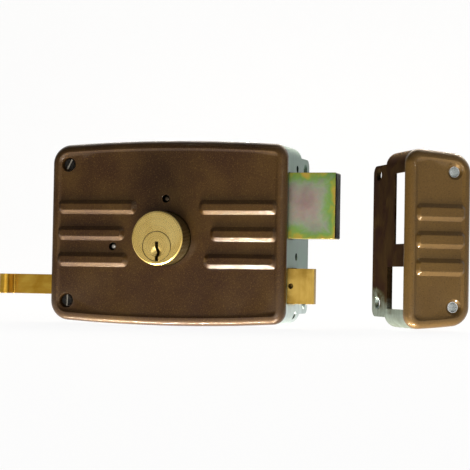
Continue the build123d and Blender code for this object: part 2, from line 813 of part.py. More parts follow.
with BuildPart() as spring_stop:
    with BuildSketch(side(stop_x)):
        with Locations((-(chassis_wall + stop_depth) / 2, bar_middle)):
            Rectangle(stop_depth - chassis_wall, stop_height)
        with Locations((-bar_depth, bar_middle)):
            bar_window = 2 * (window_gap / 2)
            Rectangle(bar_thickness + bar_window, bar_height + bar_window, mode=Mode.SUBTRACT)
    extrude(amount=stop_thickness)
    with Locations((stop_x - stop_foot / 2, -chassis_wall - stop_thickness / 2, bar_middle)):
        Box(stop_foot, stop_thickness, stop_height)
spring_stop.part.label = "spring_stop"
export_step(spring_stop.part, "parts/spring_stop.step")

# Latch spring, wound round the bar between the stop and the latch
latch_wire = 1.1
latch_coil_radius = 6.6
latch_turns = 9
spring_left = stop_x + stop_thickness

with BuildPart() as latch_spring:
    spring_seat = Plane(origin=(spring_left, -bar_depth, bar_middle), z_dir=(1, 0, 0))
    add(coil(spring_seat, latch_coil_radius, latch_wire, latch_turns, latch_inner - spring_left))
latch_spring.part.label = "latch_spring"
export_step(latch_spring.part, "parts/latch_spring.step")

# Latch lever: a forked lever, swung by the bar's peg, whose finger reaches for the pinion's hub
lever_thickness = 2.0
lever_behind = 5.0
lever_width = 9.0
lever_pin_radius = 2.0
fork_gap = 0.2
fork_travel = 2.6
finger_length = 8.0
finger_width = 5.0
lever_front = bar_depth - lever_behind
lever_drop = lever_pivot_z - bar_middle
lever_lean = math.degrees(math.atan2(latch_travel / 2, lever_drop))
lever_reach = math.hypot(latch_travel / 2, lever_drop)
lever_down = lever_lean - 90
fork_middle = (lever_reach + lever_drop) / 2


def along_lever(distance):
    """The point on the lever's middle line at a distance below its pivot."""
    turn = math.radians(lever_down)
    return (lever_pivot_x + distance * math.cos(turn), lever_pivot_z + distance * math.sin(turn))


with BuildPart() as latch_lever:
    with BuildSketch(front(lever_front - lever_thickness)):
        with Locations(along_lever(lever_reach / 2)):
            SlotCenterToCenter(lever_reach, lever_width, rotation=lever_down)
        turn = math.radians(lever_lean)
        finger = (
            lever_pivot_x + finger_length / 2 * math.cos(turn),
            lever_pivot_z + finger_length / 2 * math.sin(turn),
        )
        with Locations(finger):
            SlotCenterToCenter(finger_length, finger_width, rotation=lever_lean)
        with Locations(along_lever(fork_middle)):
            SlotCenterToCenter(
                fork_travel, 2 * (peg_radius + fork_gap), rotation=lever_down, mode=Mode.SUBTRACT
            )
        with Locations((lever_pivot_x, lever_pivot_z)):
            Circle(lever_pin_radius + running_gap, mode=Mode.SUBTRACT)
    extrude(amount=lever_thickness)
latch_lever.part.label = "latch_lever"
export_step(latch_lever.part, "parts/latch_lever.step")

# Lever pivot, a shouldered pin on the back plate
pivot_shoulder = 3.6
pivot_gap = 0.15
pivot_head = 0.9

with BuildPart() as lever_pivot:
    with BuildSketch(front(chassis_wall)):
        with Locations((lever_pivot_x, lever_pivot_z)):
            Circle(pivot_shoulder)
    extrude(amount=lever_front - lever_thickness - pivot_gap - chassis_wall)
    with BuildSketch(front(chassis_wall)):
        with Locations((lever_pivot_x, lever_pivot_z)):
            Circle(lever_pin_radius)
    extrude(amount=lever_front + pivot_gap - chassis_wall)
    with BuildSketch(front(lever_front + pivot_gap)):
        with Locations((lever_pivot_x, lever_pivot_z)):
            Circle(pivot_shoulder)
    extrude(amount=pivot_head)
lever_pivot.part.label = "lever_pivot"
export_step(lever_pivot.part, "parts/lever_pivot.step")

# Lever peg, riveted into the bar
with BuildPart() as lever_peg:
    with BuildSketch(front(lever_front - lever_thickness - peg_radius)):
        with Locations((peg_x, bar_middle)):
            Circle(peg_radius)
    peg_back = lever_front - lever_thickness - peg_radius
    extrude(amount=bar_depth + bar_thickness / 2 - peg_back)
lever_peg.part.label = "lever_peg"
export_step(lever_peg.part, "parts/lever_peg.step")

# Bolt guide: the block behind the fore-end that both bolts run on
guide_length = 17.0
guide_gap = 0.3
guide_top = bolt_bottom - guide_gap
guide_bottom = latch_middle + latch_side / 2 + guide_gap
guide_right = lip_face - lip_thickness - shell_gap

with BuildPart() as bolt_guide:
    with BuildSketch(front(chassis_wall)):
        with Locations((guide_right - guide_length / 2, (guide_top + guide_bottom) / 2)):
            Rectangle(guide_length, guide_top - guide_bottom)
            Circle(screw_radius, mode=Mode.SUBTRACT)
    extrude(amount=bolt_front - chassis_wall)
bolt_guide.part.label = "bolt_guide"
export_step(bolt_guide.part, "parts/bolt_guide.step")

# Friction spring: a bowed leaf that leans on the tail, and its rivet
leaf_thickness = 0.6
leaf_height = 4.0
leaf_gap = 0.4
leaf_inset = 3.0
leaf_knee_run = 10.0
leaf_crest_run = 21.0
leaf_tip_run = 26.0
leaf_tip_drop = 2.6
leaf_bend = 1.5
leaf_rivet_radius = 1.5
leaf_bottom = post_height + bridge_ear + leaf_gap
leaf_right = bolt_inner - leaf_inset
leaf_knee = leaf_right - leaf_knee_run
leaf_crest = leaf_right - leaf_crest_run
leaf_tip = leaf_right - leaf_tip_run
leaf_foot = chassis_wall + leaf_thickness / 2
leaf_top = tail_back - leaf_thickness / 2 - running_gap
leaf_rivet_x = (leaf_right + leaf_knee) / 2
leaf_middle = leaf_bottom + leaf_height / 2

with BuildPart() as friction_spring:
    with BuildSketch(Plane.XY.offset(leaf_bottom)):
        with BuildLine():
            FilletPolyline(
                (leaf_right, -leaf_foot),
                (leaf_knee, -leaf_foot),
                (leaf_crest, -leaf_top),
                (leaf_tip, -leaf_top + leaf_tip_drop),
                radius=leaf_bend,
            )
        trace(line_width=leaf_thickness)
    extrude(amount=leaf_height)
    with Locations(facing(leaf_rivet_x, leaf_foot + leaf_thickness, leaf_middle)):
        Hole(leaf_rivet_radius, 2 * leaf_thickness)
friction_spring.part.label = "friction_spring"
export_step(friction_spring.part, "parts/friction_spring.step")

with BuildPart() as spring_rivet:
    with BuildSketch(front(chassis_wall)):
        with Locations((leaf_rivet_x, leaf_middle)):
            Circle(leaf_rivet_radius)
    extrude(amount=leaf_thickness)
    with BuildSketch(front(chassis_wall + leaf_thickness)):
        with Locations((leaf_rivet_x, leaf_middle)):
            Circle(leaf_height / 2)
    extrude(amount=leaf_rivet_radius)
    fillet(spring_rivet.faces().sort_by(Axis.Y)[0].edges(), leaf_rivet_radius / 2)
spring_rivet.part.label = "spring_rivet"
export_step(spring_rivet.part, "parts/spring_rivet.step")

# Keep: its own planes, turned about the vertical
keep_along = (math.cos(math.radians(keep_turn)), math.sin(math.radians(keep_turn)), 0)
keep_into = (-keep_along[1], keep_along[0], 0)
keep_out = (keep_along[1], -keep_along[0], 0)


def keep_point(x, depth, z):
    """The place of a point that is given in the keep's own directions."""
    return (
        keep_x + x * keep_along[0] + depth * keep_out[0],
        keep_y + x * keep_along[1] + depth * keep_out[1],
        z,
    )


def keep_front(depth, x=0, z=0):
    """A plane that faces the keep's front, at a depth from its back."""
    return Plane(origin=keep_point(x, depth, z), x_dir=keep_along, z_dir=keep_out)


def keep_side(x, depth=0, z=0):
    """A plane square to the keep's width, facing away from the lock."""
    return Plane(origin=keep_point(x, depth, z), x_dir=keep_into, z_dir=keep_along)


def keep_face(plane, inset, right=None):
    """The keep's outline, which falls away from the lock, drawn in by inset, as far as x = right."""
    near, far = keep_end_height / 2, keep_far_height / 2
    middle = near - (near - far) / 3
    with BuildSketch(plane, mode=Mode.PRIVATE) as face:
        with BuildLine():
            ThreePointArc(
                (0, keep_centre + near), (keep_width / 2, keep_centre + middle), (keep_width, keep_centre + far)
            )
            Line((keep_width, keep_centre + far), (keep_width, keep_centre - far))
            ThreePointArc(
                (keep_width, keep_centre - far), (keep_width / 2, keep_centre - middle), (0, keep_centre - near)
            )
            Line((0, keep_centre - near), (0, keep_centre + near))
        make_face()
        fillet(face.vertices().group_by(Axis.X)[0], keep_corner_left)
        fillet(face.vertices().group_by(Axis.X)[-1], keep_corner_right)
        if inset:
            offset(amount=-inset)
        if right is not None:
            with Locations((right - case_width, keep_centre)):
                Rectangle(2 * case_width, 2 * case_width, mode=Mode.INTERSECT)
    return face.sketch


# Keep box: the side wall that the bolts enter and the rim that stands on the frame
keep_joggle = 10.0
bolt_window_above = 0.8
bolt_window_below = 2.0
bolt_window_back = 2.3
latch_window_clear = 2.0
latch_window_back = 4.3
keep_lip_overlap = 4.0
keep_lip_shorter = 12.8
keep_lip_drop = 0.6
keep_lip_height = keep_end_height - keep_lip_shorter
keep_lip_centre = keep_centre - keep_lip_drop

with BuildPart() as keep_box:
    extrude(keep_face(keep_front(0), 0, keep_joggle), amount=fore_depth)
    extrude(keep_face(keep_front(0), tray_inset), amount=tray_depth)
    keep_inner = keep_face(keep_front(-overrun), tray_inset + keep_wall)
    extrude(keep_inner, amount=case_depth + overrun, mode=Mode.SUBTRACT)
    keep_fore = keep_face(keep_front(-overrun), keep_wall, keep_joggle - keep_wall)
    extrude(keep_fore, amount=case_depth + overrun, mode=Mode.SUBTRACT)
    bolt_window = bolt_back - bolt_window_back
    latch_window = latch_back - latch_window_back
    with BuildSketch(keep_side(-overrun)):
        with Locations((-case_depth, bolt_bottom - bolt_window_below)):
            Rectangle(
                case_depth - bolt_window,
                bolt_height + bolt_window_below + bolt_window_above,
                align=(Align.MIN, Align.MIN),
            )
        with Locations((-(latch_window + case_depth) / 2, latch_middle)):
            Rectangle(case_depth - latch_window, latch_side + 2 * latch_window_clear)
    extrude(amount=keep_wall + 2 * overrun, mode=Mode.SUBTRACT)
    with BuildSketch(keep_side(keep_wall)):
        with Locations((0, keep_lip_centre)):
            Rectangle(2 * keep_lip_overlap, keep_lip_height)
    extrude(amount=lip_thickness, mode=Mode.SUBTRACT)
keep_box.part.label = "keep_box"
export_step(keep_box.part, "parts/keep_box.step")

# Keep lip, which wraps round the frame's edge
keep_lip_hole_rise = 1.3
keep_lip_hole_inset = 6.6
keep_lip_hole_spacing = keep_lip_height - 2 * keep_lip_hole_inset
keep_lip_hole_middle = keep_lip_centre + keep_lip_hole_rise

with BuildPart() as keep_lip:
    with BuildSketch(keep_side(keep_wall)) as keep_lip_outline:
        with Locations(((lip_reach - keep_lip_overlap) / 2, keep_lip_centre)):
            Rectangle(lip_reach + keep_lip_overlap, keep_lip_height)
        fillet(keep_lip_outline.vertices().group_by(Axis.X)[-1], lip_corner)
    extrude(amount=lip_thickness)
    keep_lip_holes = [
        keep_side(keep_wall, -lip_hole_reach, keep_lip_hole_middle + end * keep_lip_hole_spacing / 2)
        for end in (1, -1)
    ]
    with Locations(*[Plane(p.origin, x_dir=p.x_dir, z_dir=-p.z_dir) for p in keep_lip_holes]):
        CounterSinkHole(lip_hole_radius, lip_sink_radius, counter_sink_angle=90)
keep_lip.part.label = "keep_lip"
export_step(keep_lip.part, "parts/keep_lip.step")

# Keep cover: the painted shell, with three ribs and two countersunk holes
keep_rib_left = 5.0
keep_rib_inset = 3.2
keep_rib_drop = 1.4
keep_rib_width = 9.6
keep_hole_inset_x = 10.2
keep_hole_inset_z = 12.5
keep_hole_radius = 2.6
keep_sink_radius = 4.5
keep_sink_depth = 1.5
keep_rib_right = keep_width - keep_rib_inset
keep_hole_x = keep_width - keep_hole_inset_x
keep_hole_spacing = keep_end_height - 2 * keep_hole_inset_z

with BuildPart() as keep_hollow:
    outwards = Axis(keep_point(0, 0, 0), keep_out)
    extrude(keep_face(keep_front(0), cover_wall), amount=panel_inside)
    fillet(keep_hollow.faces().sort_by(outwards)[-1].edges(), cover_round - cover_wall)

keep_holes = [
    keep_front(panel_depth, keep_hole_x, keep_centre + end * keep_hole_spacing / 2) for end in (1, -1)
]

with BuildPart() as keep_cover:
    extrude(keep_face(keep_front(cover_back), 0), amount=case_depth - cover_back)
    fillet(keep_cover.faces().sort_by(outwards)[-1].edges(), cover_round)
    add(keep_hollow.part, mode=Mode.SUBTRACT)
    keep_cut = keep_face(keep_front(0), -overrun, keep_joggle + shell_gap)
    extrude(keep_cut, amount=case_depth - cover_skirt, mode=Mode.SUBTRACT)
    keep_panel = keep_face(keep_front(case_depth), panel_border)
    extrude(keep_panel, amount=-panel_sink, taper=panel_taper, mode=Mode.SUBTRACT)
    for row in rib_rows:
        with BuildSketch(keep_front(panel_depth)):
            with Locations(((keep_rib_left + keep_rib_right) / 2, row - keep_rib_drop)):
                RectangleRounded(keep_rib_right - keep_rib_left, keep_rib_width, rib_corner)
        extrude(amount=rib_height, taper=rib_taper)
    keep_rib_tops = keep_cover.faces().group_by(outwards)[-1]
    fillet(keep_rib_tops.edges(), rib_crown)
    with Locations(*keep_holes):
        Cone(
            keep_hole_radius,
            keep_sink_radius,
            keep_sink_depth,
            align=(Align.CENTER, Align.CENTER, Align.MAX),
            mode=Mode.SUBTRACT,
        )
        Hole(keep_hole_radius, keep_sink_depth + cover_wall + overrun)
keep_cover.part.label = "keep_cover"
export_step(keep_cover.part, "parts/keep_cover.step")

# Keep sleeves, which carry the screws' clamping force to the frame
sleeve_wall = 0.6

with BuildPart() as keep_sleeves:
    for hole in keep_holes:
        with BuildSketch(hole.offset(-cover_wall)):
            Circle(keep_hole_radius + sleeve_wall)
            Circle(keep_hole_radius, mode=Mode.SUBTRACT)
        extrude(amount=-panel_inside)
keep_sleeves.part.label = "keep_sleeves"
export_step(keep_sleeves.part, "parts/keep_sleeves.step")
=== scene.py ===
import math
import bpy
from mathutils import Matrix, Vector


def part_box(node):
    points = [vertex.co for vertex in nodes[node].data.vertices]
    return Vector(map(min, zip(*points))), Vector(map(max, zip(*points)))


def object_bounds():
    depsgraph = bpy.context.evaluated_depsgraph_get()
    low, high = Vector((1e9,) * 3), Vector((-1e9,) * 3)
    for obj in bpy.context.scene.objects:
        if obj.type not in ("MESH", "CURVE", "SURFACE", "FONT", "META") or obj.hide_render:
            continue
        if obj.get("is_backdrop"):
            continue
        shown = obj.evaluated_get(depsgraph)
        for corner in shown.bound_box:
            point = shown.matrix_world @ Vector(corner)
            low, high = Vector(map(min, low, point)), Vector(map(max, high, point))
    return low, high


bl_info = {
    "name": "Rim box lock looks",
    "version": (1, 0, 0),
    "blender": (4, 5, 0),
    "location": "View3D > Sidebar > Lock",
    "description": "Finishes and a studio for a rim box lock and its keep",
    "category": "Object",
}

import bmesh
import bpy
from bpy.props import FloatProperty, FloatVectorProperty, PointerProperty
from mathutils import Matrix, Vector

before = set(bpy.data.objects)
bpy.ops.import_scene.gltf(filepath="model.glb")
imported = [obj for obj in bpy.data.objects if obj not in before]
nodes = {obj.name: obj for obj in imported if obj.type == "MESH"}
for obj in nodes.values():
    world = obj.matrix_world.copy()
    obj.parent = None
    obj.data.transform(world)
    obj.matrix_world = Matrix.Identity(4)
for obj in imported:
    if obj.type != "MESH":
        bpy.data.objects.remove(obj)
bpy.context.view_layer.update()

# Heights between which painted light turns the chassis and the keep paler towards their feet, in metres
chassis_lit_foot = (-0.036, -0.012)
keep_lit_foot = (-0.035, -0.024)

# Half the length of the deadbolt's bands of colour, and how deep the painted shade on its end face goes
film_reach = 0.0175
end_shade_depth = (0.0006, 0.0004)

# How deep in a cover screw the painted highlight in its slot begins, and how wide the dark joint round the
# plug is
slot_highlight_depth = (0.0004, 0.0006)
plug_joint = (0.0001, 0.00034)

# Heights between the two stay pins, where their tone changes
between_pins = (0.01, 0.011)

# The floor, which bends up into a backdrop, in metres, and the steps of its bend
floor_reach = 1.2
floor_front = -1.1
floor_back = 1.2
wall_height = 1.8
wall_bend = 0.5
bend_steps = 12

# How much of what the camera sees of the floor is plain white
floor_glow = 0.92

# The photograph's width in pixels, and the camera sensor's in millimetres
frame_pixels = 470
sensor_width = 36.0

white = (1.0, 1.0, 1.0, 1.0)


# Small helpers for node trees


def linear(red, green, blue):
    """A colour as a maker reads it off a chart, 0 to 255, as Blender's linear values."""
    steps = [c / 255 for c in (red, green, blue)]
    return tuple(s / 12.92 if s <= 0.04045 else ((s + 0.055) / 1.055) ** 2.4 for s in steps) + (1.0,)


def place(tree, kind, settings=None, **inputs):
    """Adds a node with its settings, and fills or links its inputs, by name or as i and a number."""
    node = tree.nodes.new(kind)
    for name, value in (settings or {}).items():
        setattr(node, name, value)
    for name, value in inputs.items():
        key = int(name[1:]) if name[0] == "i" and name[1:].isdigit() else name.replace("_", " ")
        if isinstance(value, bpy.types.NodeSocket):
            tree.links.new(value, node.inputs[key])
        else:
            node.inputs[key].default_value = value
    return node


def maths(tree, operation, a, b=0.0):
    return place(tree, "ShaderNodeMath", {"operation": operation}, i0=a, i1=b).outputs[0]


def mixed(tree, share, a, b, blend="MIX"):
    """Mixes two colours."""
    settings = {"data_type": "RGBA", "blend_type": blend}
    return place(tree, "ShaderNodeMix", settings, i0=share, i6=a, i7=b).outputs[2]


def ranged(tree, value, low, high, to_low=0.0, to_high=1.0):
    """Brings a value from one range to another, smoothly."""
    return place(
        tree, "ShaderNodeMapRange", {"interpolation_type": "SMOOTHSTEP"},
        Value=value, From_Min=low, From_Max=high, To_Min=to_low, To_Max=to_high,
    ).outputs[0]


def ramp(tree, value, stops):
    """A colour ramp from (place, colour) stops."""
    node = place(tree, "ShaderNodeValToRGB", i0=value)
    band = node.color_ramp
    while len(band.elements) < len(stops):
        band.elements.new(0.5)
    for element, (where, colour) in zip(band.elements, stops):
        element.position, element.color = where, colour
    return node.outputs[0]


def noise(tree, where, scale, detail, roughness, distortion=0.0):
    return place(
        tree, "ShaderNodeTexNoise", Vector=where, Scale=scale, Detail=detail, Roughness=roughness,
        Distortion=distortion,
    )


def apart(tree, vector):
    """The three parts of a vector, as outputs named X, Y and Z."""
    return place(tree, "ShaderNodeSeparateXYZ", i0=vector).outputs


def from_axis(tree, where):
    """How far a place is from the Y axis."""
    parts = apart(tree, where)
    flat = place(tree, "ShaderNodeCombineXYZ", X=parts["X"], Y=0.0, Z=parts["Z"])
    return place(tree, "ShaderNodeVectorMath", {"operation": "LENGTH"}, i0=flat.outputs[0]).outputs["Value"]


def new_group(name, inputs, outputs):
    """A shader node group with its sockets, and its input and output nodes."""
    tree = bpy.data.node_groups.new(name, "ShaderNodeTree")
    for label, kind, value in inputs:
        socket = tree.interface.new_socket(label, in_out="INPUT", socket_type=kind)
        if value is not None:
            socket.default_value = value
    for label, kind in outputs:
        tree.interface.new_socket(label, in_out="OUTPUT", socket_type=kind)
    return tree, tree.nodes.new("NodeGroupInput"), tree.nodes.new("NodeGroupOutput")


# Shared effects


effects = {}


def worn_and_highlit_edge_group():
    """Where an outer edge turns bright, as a mask: rubbed wear, and on the deadbolt a painted highlight."""
    group, gin, gout = new_group(
        "worn and highlit edges",
        [("Place", "NodeSocketVector", None), ("Radius", "NodeSocketFloat", 0.0006),
         ("Amount", "NodeSocketFloat", 1.0), ("Breaks", "NodeSocketFloat", 260.0)],
        [("Mask", "NodeSocketFloat")],
    )
    # Bright outer edges: wear, and on the deadbolt a painted highlight along its bevel
    soft = place(group, "ShaderNodeBevel", {"samples": 6}, Radius=gin.outputs["Radius"]).outputs[0]
    flat = group.nodes.new("ShaderNodeNewGeometry").outputs["Normal"]
    facing = place(
        group, "ShaderNodeVectorMath", {"operation": "DOT_PRODUCT"}, i0=soft, i1=flat
    ).outputs["Value"]
    edge = ranged(group, maths(group, "SUBTRACT", 1.0, facing), 0.02, 0.22)
    breaks = noise(group, gin.outputs["Place"], gin.outputs["Breaks"], 4.0, 0.65).outputs["Fac"]
    torn = maths(group, "MULTIPLY", edge, ranged(group, breaks, 0.42, 0.62))
    group.links.new(maths(group, "MULTIPLY", torn, gin.outputs["Amount"]), gout.inputs["Mask"])
    return group


def grime_and_shade_group():
    """Where dirt gathers in corners and painted shade darkens them, as a mask."""
    group, gin, gout = new_group(
        "corner grime and shade",
        [("Place", "NodeSocketVector", None), ("Reach", "NodeSocketFloat", 0.003),
         ("Amount", "NodeSocketFloat", 0.7)],
        [("Mask", "NodeSocketFloat")],
    )
    # Painted shade: ambient occlusion darkens the corners, and noise patches add dirt
    hidden = place(
        group, "ShaderNodeAmbientOcclusion", {"samples": 6}, Distance=gin.outputs["Reach"]
    ).outputs["AO"]
    patch = noise(group, gin.outputs["Place"], 90.0, 5.0, 0.6).outputs["Fac"]
    dirt_and_shade = maths(
        group, "MULTIPLY", ranged(group, hidden, 0.9, 0.35), ranged(group, patch, 0.25, 0.6, 0.55, 1.0)
    )
    group.links.new(maths(group, "MULTIPLY", dirt_and_shade, gin.outputs["Amount"]), gout.inputs["Mask"])
    return group


def hammered_group():
    """The pebbled skin of hammered paint: its height, its bright flecks and its clouds."""
    group, gin, gout = new_group(
        "hammered skin",
        [("Place", "NodeSocketVector", None), ("Pebble", "NodeSocketFloat", 1000.0)],
        [("Height", "NodeSocketFloat"), ("Flecks", "NodeSocketFloat"), ("Clouds", "NodeSocketFloat")],
    )
    where, pebble = gin.outputs["Place"], gin.outputs["Pebble"]
    cells = place(
        group, "ShaderNodeTexVoronoi", {"feature": "SMOOTH_F1"}, Vector=where, Scale=pebble, Smoothness=0.8
    ).outputs["Distance"]
    fine = noise(group, where, pebble, 6.0, 0.62).outputs["Fac"]
    height = maths(group, "ADD", maths(group, "MULTIPLY", cells, 0.55), maths(group, "MULTIPLY", fine, 0.6))
    group.links.new(height, gout.inputs["Height"])
    flakes = noise(group, where, maths(group, "MULTIPLY", pebble, 1.15), 3.0, 0.8).outputs["Fac"]
    group.links.new(ranged(group, flakes, 0.5, 0.72), gout.inputs["Flecks"])
    group.links.new(noise(group, where, 28.0, 4.0, 0.55).outputs["Fac"], gout.inputs["Clouds"])
    return group


def grain_group():
    """Drawn or ground metal: fine lines along one direction, and the blotches of its plating."""
    group, gin, gout = new_group(
        "metal grain",
        [("Place", "NodeSocketVector", None), ("Stretch", "NodeSocketVector", (1.0, 1.0, 1.0)),
         ("Lines", "NodeSocketFloat", 600.0), ("Patches", "NodeSocketFloat", 70.0)],
        [("Lines", "NodeSocketFloat"), ("Patches", "NodeSocketFloat")],
    )
    drawn = place(
        group, "ShaderNodeVectorMath", {"operation": "MULTIPLY"},
        i0=gin.outputs["Place"], i1=gin.outputs["Stretch"],
    ).outputs[0]
    lines = noise(group, drawn, gin.outputs["Lines"], 5.0, 0.7).outputs["Fac"]
    patches = noise(group, gin.outputs["Place"], gin.outputs["Patches"], 5.0, 0.6, 0.6).outputs["Fac"]
    group.links.new(lines, gout.inputs["Lines"])
    group.links.new(patches, gout.inputs["Patches"])
    return group


def use_effect(tree, name, where, **inputs):
    """Places a shared effect, and gives its outputs."""
    return place(tree, "ShaderNodeGroup", {"node_tree": effects[name]}, Place=where, **inputs).outputs


def dirtied_and_shaded(tree, where, tone, dirt_and_shade, reach, amount):
    """Darkens a tone in the corners, as dirt and painted shade."""
    return mixed(tree, use_effect(tree, "grime_and_shade", where, Reach=reach, Amount=amount)["Mask"], tone, dirt_and_shade)


def rubbed_and_highlit(tree, where, tone, bright_tone, radius, amount):
    """Brightens a tone on the outer edges: rubbed wear, and on the deadbolt a painted highlight."""
    return mixed(tree, use_effect(tree, "worn_and_highlit", where, Radius=radius, Amount=amount)["Mask"], tone, bright_tone)


# Finishes


def new_finish(name):
    """A material with its shader, its Object coordinates and its tree."""
    material = bpy.data.materials.new(name)
    material.use_nodes = True
    tree = material.node_tree
    shader = tree.nodes["Principled BSDF"]
    where = tree.nodes.new("ShaderNodeTexCoord").outputs["Object"]
    return material, tree, shader, where


def surfaced(tree, shader, tone, metallic, roughness):
    """Gives a shader its colour and its roughness, which come from nodes, and its metal."""
    tree.links.new(tone, shader.inputs["Base Color"])
    tree.links.new(roughness, shader.inputs["Roughness"])
    shader.inputs["Metallic"].default_value = metallic


def bumped(tree, shader, height, depth, radius=None, strength=0.4):
    """Bumps a surface by a height. With a radius its edges are softened, and their normal is returned."""
    inputs = {"Strength": strength, "Distance": depth, "Height": height}
    if radius:
        inputs["Normal"] = place(tree, "ShaderNodeBevel", {"samples": 4}, Radius=radius).outputs[0]
    bump = place(tree, "ShaderNodeBump", **inputs)
    tree.links.new(bump.outputs[0], shader.inputs["Normal"])
    return inputs.get("Normal")


def paint(node_names, material):
    """Gives CAD pieces a finish, and shades their curved faces smoothly."""
    for name in node_names:
        piece = nodes[name]
        piece.data.materials.clear()
        piece.data.materials.append(material)
        smooth(piece)


def smooth(piece, angle=32.0, merge=2e-6):
    """Shades a piece smoothly between its sharp edges, and keeps its flat faces flat."""
    for face in piece.data.polygons:
        face.use_smooth = True
    weld = piece.modifiers.new("weld", "WELD")
    weld.merge_threshold = merge
    split = piece.modifiers.new("sharp edges", "EDGE_SPLIT")
    split.split_angle = math.radians(angle)
    level = piece.modifiers.new("flat faces", "WEIGHTED_NORMAL")
    level.weight = 100


def plated(
    name, colour, dull, light, stretch, roughness, metallic=0.9, patches=70.0, depth=0.00004, lit_foot=None,
    edge=white,
):
    """A plated steel finish, clouded between a dull and a light tone.

    A lit foot is a low height, a high one, and the pale tone that the finish turns to from the high one
    down: painted light from below.
    An edge is the tint that the metal takes where it is seen from the side.
    """
    material, tree, shader, where = new_finish(name)
    grain = use_effect(tree, "grain", where, Stretch=stretch, Patches=patches)
    tone = mixed(tree, ranged(tree, grain["Patches"], 0.32, 0.68), dull, light)
    tone = mixed(tree, 0.5, tone, colour)
    if lit_foot:
        # Painted light: the tone turns paler towards the bottom
        low, high, foot_light_tone = lit_foot
        stirred = maths(tree, "MULTIPLY", maths(tree, "SUBTRACT", grain["Patches"], 0.5), 0.03)
        height = maths(tree, "ADD", apart(tree, where)["Z"], stirred)
        tone = mixed(tree, ranged(tree, height, high, low), tone, foot_light_tone)
    tone = mixed(tree, ranged(tree, grain["Lines"], 0.35, 0.7, 0.0, 0.3), tone, dull)
    # Dirt and painted shade darken the corners
    tone = dirtied_and_shaded(tree, where, tone, linear(40, 38, 34), 0.004, 0.6)
    tone = rubbed_and_highlit(tree, where, tone, light, 0.0004, 0.6)
    rough = ranged(tree, grain["Patches"], 0.3, 0.7, roughness - 0.06, roughness + 0.08)
    surfaced(tree, shader, tone, metallic, rough)
    shader.inputs["Specular IOR Level"].default_value = 0.3
    shader.inputs["Specular Tint"].default_value = edge
    bumped(tree, shader, grain["Lines"], depth, radius=0.0002)
    return material


# Settings that a user would change


def colour_setting(name, description, default):
    return FloatVectorProperty(
        name=name, description=description, subtype="COLOR", size=4, min=0.0, max=1.0, default=default
    )


def lamp_setting(name, description, default):
    """The power of a lamp, in watts."""
    return FloatProperty(name=name, description=description, unit="POWER", default=default, min=0.0)


def room_setting(name, description, default):
    """The strength of a part of the room's light."""
    return FloatProperty(name=name, description=description, default=default, min=0.0)


def turn_setting(name, description, default):
    return FloatProperty(name=name, description=description, subtype="ANGLE", default=default)


class LockPaint(bpy.types.PropertyGroup):
    """The painted shells."""

    brown: colour_setting("Brown", "The paint's ground", linear(53, 32, 16))
    flake: colour_setting("Flake", "The paint's golden flakes", linear(126, 98, 46))
    shade: colour_setting("Shade", "The dark in its pits and corners", linear(24, 13, 9))
    pebble: FloatProperty(name="Pebbles", description="Pebbles for each metre", default=1300.0, min=100.0)
    depth: FloatProperty(
        name="Pebble depth", description="Height of the hammered skin", subtype="DISTANCE", unit="LENGTH",
        default=0.00016,
    )


class LockPlate(bpy.types.PropertyGroup):
    """The plated and brass pieces."""

    zinc: colour_setting("Zinc", "The chassis plate", linear(76, 104, 89))
    olive: colour_setting("Olive", "The yellow plate of the bar and the bolt's tail", linear(190, 154, 50))
    brass: colour_setting("Brass", "The cylinder and its plug", linear(230, 202, 122))
    keep: colour_setting("Keep wall", "The keep's plated wall and lip", linear(56, 42, 26))


class LockStudio(bpy.types.PropertyGroup):
    """The camera, as the photograph was taken, and the light."""

    eye: FloatVectorProperty(
        name="Camera", description="Where the camera stands", subtype="XYZ", unit="LENGTH", size=3,
        default=(0.29202, -0.85168, -0.01580),
    )
    yaw: turn_setting("Yaw", "Turn to the left", 0.29753)
    pitch: turn_setting("Pitch", "Tilt upwards", 0.02663)
    roll: turn_setting("Roll", "Lean", -0.01746)
    focal_pixels: FloatProperty(
        name="Focal length", description="In pixels of the photograph's frame", default=1543.7, min=1.0
    )
    key: lamp_setting("Key light", "From under the lock, along its ribs", 28.0)
    soft: lamp_setting("Front light", "Soft, from the front and below", 3.3)
    fill: lamp_setting("Fill light", "From the front and above", 0.8)
    side: lamp_setting("Side light", "From the right", 1.1)
    rear: lamp_setting("Rear light", "From behind and above", 12.0)
    warmth: FloatVectorProperty(
        name="Lamp colour", description="The colour of the lamps", subtype="COLOR", size=3, min=0.0,
        max=1.0, default=(1.0, 0.93, 0.79),
    )
    front: room_setting("Room in front", "Strength of the room's light", 0.08)
    above: room_setting("Room above", "What comes in from behind, above", 1.6)
    right: room_setting("Room at right", "What comes in from the right", 0.22)


# The makers, one for each group of pieces


